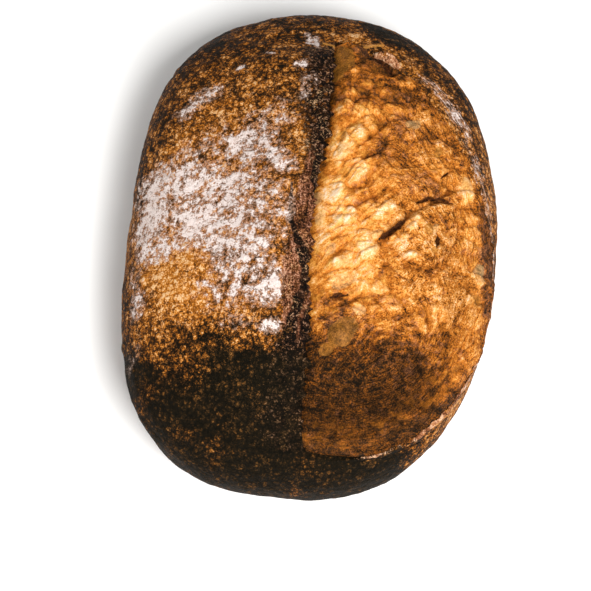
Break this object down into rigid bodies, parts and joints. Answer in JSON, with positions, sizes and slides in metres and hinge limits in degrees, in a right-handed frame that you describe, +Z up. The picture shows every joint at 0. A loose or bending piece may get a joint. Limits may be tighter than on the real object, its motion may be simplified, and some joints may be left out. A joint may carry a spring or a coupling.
{
  "type": "sourdough loaf",
  "caption": "Oval sourdough country loaf with one long score, a raised dark ear and a wide torn bloom of golden dough beside it.",
  "frame": {"origin": "middle of the loaf's outline on the surface that it stands on", "axes": "+Y along the loaf towards the far end of the score, +X across it from the ear to the bloom, +Z up"},
  "size_m": [0.19, 0.26, 0.1067],
  "materials": {
    "crust": "baked crust, brown to near black with dry flour on it, matt with a faint sheen on the bare brown parts",
    "bloom": "torn dough baked golden, cream on the folds and brown in the cracks, matt"
  },
  "bodies": {
    "root": {"loaf": "crust"}
  },
  "joints": []
}
